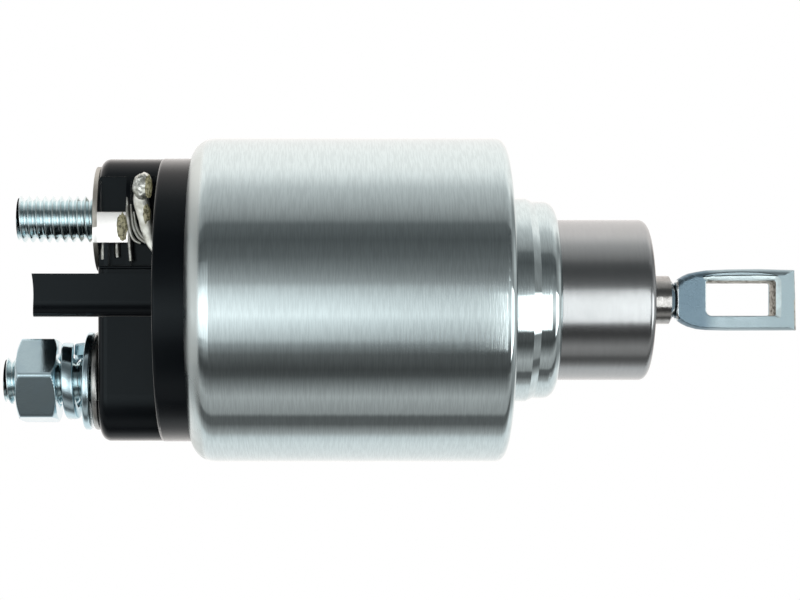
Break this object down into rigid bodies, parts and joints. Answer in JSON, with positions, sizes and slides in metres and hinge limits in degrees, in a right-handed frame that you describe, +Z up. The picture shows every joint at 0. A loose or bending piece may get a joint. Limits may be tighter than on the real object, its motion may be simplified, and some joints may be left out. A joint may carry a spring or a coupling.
{
  "type": "starter solenoid",
  "caption": "Round starter solenoid with a sliding plunger and pull eye at one end and a moulded terminal cap with threaded studs and a shrouded blade at the other.",
  "frame": {"origin": "centre of the mounting face, the front end face of the steel housing around its spigot", "axes": "+X out along the plunger and pull eye, +Z up through the motor stud, -Y towards the shrouded blade"},
  "size_m": [0.1306, 0.0536, 0.0534],
  "materials": {
    "zinc_shell": "bright zinc plate over circumferential turning marks",
    "brass_tube": "drawn",
    "bobbin_plastic": "moulded",
    "enamelled_copper": "enamelled winding",
    "spring_steel": "oiled spring steel",
    "core_steel": "machined",
    "gasket_rubber": "moulded",
    "cap_plastic": "gloss black thermoset",
    "tinned_blade": "tinned brass",
    "zinc_hardware": "blue zinc plate",
    "tinned_strap": "bright tin plate",
    "tinned_lead": "tinned copper",
    "solder": "solder with flux",
    "turned_steel": "bare turned steel",
    "rod_steel": "dark turned steel",
    "zinc_eye": "satin zinc plate",
    "fibre_washer": "vulcanised fibre",
    "contact_copper": "bare copper"
  },
  "bodies": {
    "housing": {"housing_shell": "zinc_shell", "coil_tube": "brass_tube", "coil_bobbin": "bobbin_plastic", "pull_in_winding": "enamelled_copper", "hold_in_winding": "enamelled_copper", "coil_disc_spring": "spring_steel", "core_plate": "core_steel", "core_boss": "core_steel", "cap_gasket": "gasket_rubber", "terminal_cap": "cap_plastic", "start_blade": "tinned_blade", "terminal_bolt_45": "zinc_hardware", "terminal_bolt_30": "zinc_hardware", "flat_washers": "zinc_hardware", "lock_washer": "zinc_hardware", "terminal_nut": "zinc_hardware", "motor_strap": "tinned_strap", "pull_in_lead": "tinned_lead", "crossover_lead": "tinned_lead", "start_lead": "tinned_lead", "solder_joints": "solder", "plunger_return_spring": "spring_steel", "bridge_return_spring": "spring_steel"},
    "plunger": {"plunger": "turned_steel", "plunger_plug": "core_steel", "plug_ring": "spring_steel", "engaging_spring": "spring_steel"},
    "spring_seat": {"spring_seat": "core_steel"},
    "pull_rod": {"pull_rod": "rod_steel", "pull_eye": "zinc_eye"},
    "contact_carrier": {"contact_pin": "rod_steel", "insulating_sleeve": "fibre_washer", "insulating_washers": "fibre_washer", "contact_bridge": "contact_copper", "bridge_clip": "spring_steel", "contact_spring": "spring_steel"}
  },
  "joints": [
    {"name": "plunger_slide", "type": "slide", "parent": "housing", "child": "plunger", "axis": [-1, 0, 0], "range_m": [0, 0.0104], "stiffness_N_per_m": 1500, "springref_m": -0.008, "deforming": ["plunger_return_spring"]},
    {"name": "engaging_slide", "type": "slide", "parent": "plunger", "child": "spring_seat", "axis": [1, 0, 0], "range_m": [0, 0.008], "stiffness_N_per_m": 4000, "springref_m": -0.01, "deforming": ["engaging_spring"]},
    {"name": "rod_swivel", "type": "hinge", "parent": "spring_seat", "child": "pull_rod", "pos_m": [0, 0, 0], "axis": [1, 0, 0], "continuous": true},
    {"name": "contact_slide", "type": "slide", "parent": "housing", "child": "contact_carrier", "axis": [-1, 0, 0], "range_m": [0, 0.0025], "deforming": ["bridge_return_spring"]}
  ],
  "couplings": [
    {"joint": "contact_slide", "follows": "plunger_slide", "ratio": 0.2403}
  ]
}
